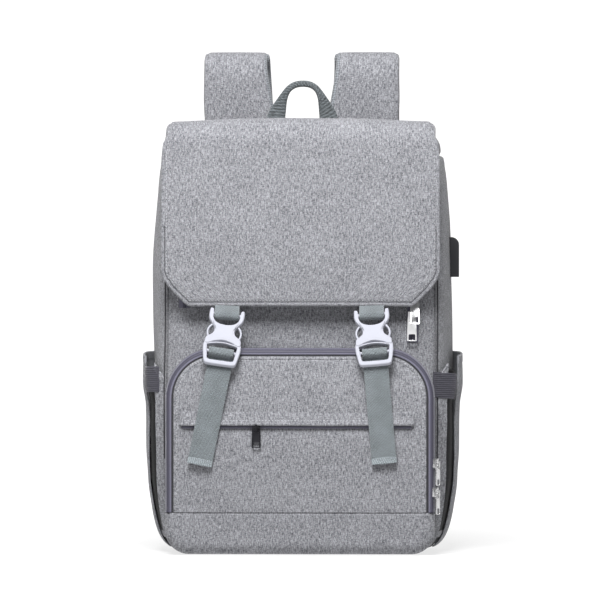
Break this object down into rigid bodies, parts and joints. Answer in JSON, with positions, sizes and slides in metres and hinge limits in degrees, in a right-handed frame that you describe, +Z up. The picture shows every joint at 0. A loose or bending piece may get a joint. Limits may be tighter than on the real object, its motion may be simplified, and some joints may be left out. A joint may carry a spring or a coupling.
{
  "type": "backpack",
  "caption": "Flap-top backpack in heather grey cloth with side-release buckles, zipped front pocket, side pockets, padded shoulder straps and a side charging port.",
  "frame": {"origin": "on the ground under the middle of the packing body", "axes": "+Z up, the flap and front pocket face -Y, the shoulder straps are at +Y, +X is to the right of someone looking at the front"},
  "size_m": [0.319, 0.2494, 0.51],
  "materials": {
    "heather_cloth": "heathered plain weave",
    "webbing": "ribbed webbing",
    "dark_mesh": "dark stretch cloth",
    "elastic": "ribbed elastic",
    "zip_tape": "woven tape with coil",
    "mesh_padding": "spacer mesh",
    "pale_plastic": "satin moulded",
    "black_rubber": "matt moulded",
    "black_plastic": "satin moulded",
    "nickel": "polished plating",
    "gunmetal": "dark plating"
  },
  "bodies": {
    "pack": {"base_panel": "heather_cloth", "back_panel": "heather_cloth", "front_panel": "heather_cloth", "side_panel_left": "heather_cloth", "side_panel_right": "heather_cloth", "back_padding": "mesh_padding", "main_zip": "zip_tape", "main_lower_slider": "nickel", "pocket_gusset": "heather_cloth", "pocket_zip": "zip_tape", "pocket_lower_slider": "nickel", "port_housing": "black_rubber", "port_shell": "nickel", "port_tongue": "black_plastic", "handle_patch": "heather_cloth", "side_pocket_front_left": "heather_cloth", "side_pocket_pleat_left": "dark_mesh", "side_pocket_rear_left": "heather_cloth", "side_pocket_tab_left": "elastic", "shoulder_strap_left": "heather_cloth", "strap_ladder_left": "black_plastic", "strap_web_left": "webbing", "strap_anchor_left": "heather_cloth", "side_pocket_front_right": "heather_cloth", "side_pocket_pleat_right": "dark_mesh", "side_pocket_rear_right": "heather_cloth", "side_pocket_tab_right": "elastic", "shoulder_strap_right": "heather_cloth", "strap_ladder_right": "black_plastic", "strap_web_right": "webbing", "strap_anchor_right": "heather_cloth"},
    "mouth": {"top_panel": "heather_cloth"},
    "flap": {"flap": "heather_cloth", "flap_loop_left": "webbing", "flap_loop_right": "webbing", "buckle_catch_left": "pale_plastic", "buckle_catch_right": "pale_plastic"},
    "pocket_front": {"pocket_face": "heather_cloth", "welt_zip": "zip_tape", "welt_lip": "heather_cloth"},
    "latch_left": {"buckle_latch_left": "pale_plastic", "strap_tail_left": "webbing"},
    "arm_left_l": {"latch_arm_left_l": "pale_plastic"},
    "arm_left_r": {"latch_arm_left_r": "pale_plastic"},
    "latch_right": {"buckle_latch_right": "pale_plastic", "strap_tail_right": "webbing"},
    "arm_right_l": {"latch_arm_right_l": "pale_plastic"},
    "arm_right_r": {"latch_arm_right_r": "pale_plastic"},
    "main_slider": {"main_upper_slider": "nickel"},
    "main_upper_pull": {"main_upper_pull": "nickel"},
    "main_lower_pull": {"main_lower_pull": "nickel"},
    "pocket_slider": {"pocket_upper_slider": "nickel"},
    "pocket_upper_pull": {"pocket_upper_pull": "nickel"},
    "pocket_lower_pull": {"pocket_lower_pull": "nickel"},
    "welt_slider": {"welt_slider": "gunmetal"},
    "welt_pull": {"welt_pull": "gunmetal"},
    "handle": {"haul_handle": "webbing"}
  },
  "joints": [
    {"name": "flap_hinge", "type": "hinge", "parent": "pack", "child": "flap", "pos_m": [0, 0.046, 0.431], "axis": [-1, 0, 0], "range_deg": [0, 90]},
    {"name": "top_panel_hinge", "type": "hinge", "parent": "pack", "child": "mouth", "pos_m": [0, 0.046, 0.431], "axis": [-1, 0, 0], "range_deg": [0, 90]},
    {"name": "pocket_fold", "type": "hinge", "parent": "pack", "child": "pocket_front", "pos_m": [0, -0.108, 0.042], "axis": [1, 0, 0], "range_deg": [0, 80]},
    {"name": "buckle_release_left", "type": "slide", "parent": "pocket_front", "child": "latch_left", "axis": [-0.1271, -0.4067, -0.9047], "range_m": [0, 0.028]},
    {"name": "arm_squeeze_left_l", "type": "hinge", "parent": "latch_left", "child": "arm_left_l", "pos_m": [-0.09146, -0.10661, 0.21763], "axis": [-0.0566, 0.9135, -0.4028], "range_deg": [0, 5], "stiffness_Nm_per_rad": 0.02},
    {"name": "arm_squeeze_left_r", "type": "hinge", "parent": "latch_left", "child": "arm_left_r", "pos_m": [-0.06155, -0.10661, 0.21343], "axis": [0.0566, -0.9135, 0.4028], "range_deg": [0, 5], "stiffness_Nm_per_rad": 0.02},
    {"name": "buckle_release_right", "type": "slide", "parent": "pocket_front", "child": "latch_right", "axis": [0.0796, -0.4067, -0.9101], "range_m": [0, 0.028]},
    {"name": "arm_squeeze_right_l", "type": "hinge", "parent": "latch_right", "child": "arm_right_l", "pos_m": [0.05865, -0.10661, 0.21423], "axis": [0.0354, 0.9135, -0.4052], "range_deg": [0, 5], "stiffness_Nm_per_rad": 0.02},
    {"name": "arm_squeeze_right_r", "type": "hinge", "parent": "latch_right", "child": "arm_right_r", "pos_m": [0.08873, -0.10661, 0.21687], "axis": [-0.0354, -0.9135, 0.4052], "range_deg": [0, 5], "stiffness_Nm_per_rad": 0.02},
    {"name": "main_zip_slide", "type": "slide", "parent": "pack", "child": "main_slider", "axis": [0, 0, 1], "range_m": [0, 0.1]},
    {"name": "main_upper_pull_swing", "type": "hinge", "parent": "main_slider", "child": "main_upper_pull", "pos_m": [0.11, -0.0776, 0.256], "axis": [-1, 0, 0], "range_deg": [0, 25]},
    {"name": "main_lower_pull_swing", "type": "hinge", "parent": "pack", "child": "main_lower_pull", "pos_m": [0.107, -0.0776, 0.238], "axis": [-1, 0, 0], "range_deg": [0, 20]},
    {"name": "pocket_zip_slide", "type": "slide", "parent": "pack", "child": "pocket_slider", "axis": [0, 0, 1], "range_m": [0, 0.07]},
    {"name": "pocket_upper_pull_swing", "type": "hinge", "parent": "pocket_slider", "child": "pocket_upper_pull", "pos_m": [0.13786, -0.10293, 0.091], "axis": [-0.4226, -0.9063, 0], "range_deg": [0, 60]},
    {"name": "pocket_lower_pull_swing", "type": "hinge", "parent": "pack", "child": "pocket_lower_pull", "pos_m": [0.13786, -0.10293, 0.062], "axis": [-0.4226, -0.9063, 0], "range_deg": [0, 60]},
    {"name": "welt_zip_slide", "type": "slide", "parent": "pocket_front", "child": "welt_slider", "axis": [1, 0, 0], "range_m": [-0.03, 0.095]},
    {"name": "welt_pull_swing", "type": "hinge", "parent": "welt_slider", "child": "welt_pull", "pos_m": [-0.0435, -0.1134, 0.1287], "axis": [-1, 0, 0], "range_deg": [0, 60]},
    {"name": "handle_swing", "type": "hinge", "parent": "pack", "child": "handle", "pos_m": [0, 0.064, 0.434], "axis": [-1, 0, 0], "range_deg": [-60, 0]}
  ],
  "couplings": [
    {"joint": "top_panel_hinge", "follows": "flap_hinge", "ratio": 1},
    {"joint": "arm_squeeze_left_r", "follows": "arm_squeeze_left_l", "ratio": 1},
    {"joint": "arm_squeeze_right_r", "follows": "arm_squeeze_right_l", "ratio": 1}
  ]
}
